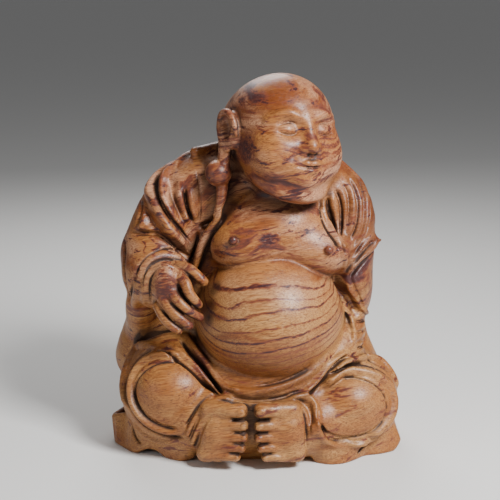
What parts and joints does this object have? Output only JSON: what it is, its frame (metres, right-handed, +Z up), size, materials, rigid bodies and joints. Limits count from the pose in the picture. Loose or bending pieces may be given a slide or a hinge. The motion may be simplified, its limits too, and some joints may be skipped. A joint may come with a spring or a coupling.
{
  "type": "budai figure",
  "caption": "Small carved rosewood figure of a seated, round-bellied monk in an open robe, right hand on the belly and feet toe to toe, on a flat underside.",
  "frame": {"origin": "on the flat underside, straight below the middle of the neck", "axes": "+Z up, -Y the way the seated body faces, +X to the figure's left"},
  "size_m": [0.079, 0.0595, 0.1],
  "materials": {
    "rosewood": "hand carved, waxed to a soft gloss"
  },
  "bodies": {
    "root": {"seated_figure": "rosewood"}
  },
  "joints": []
}
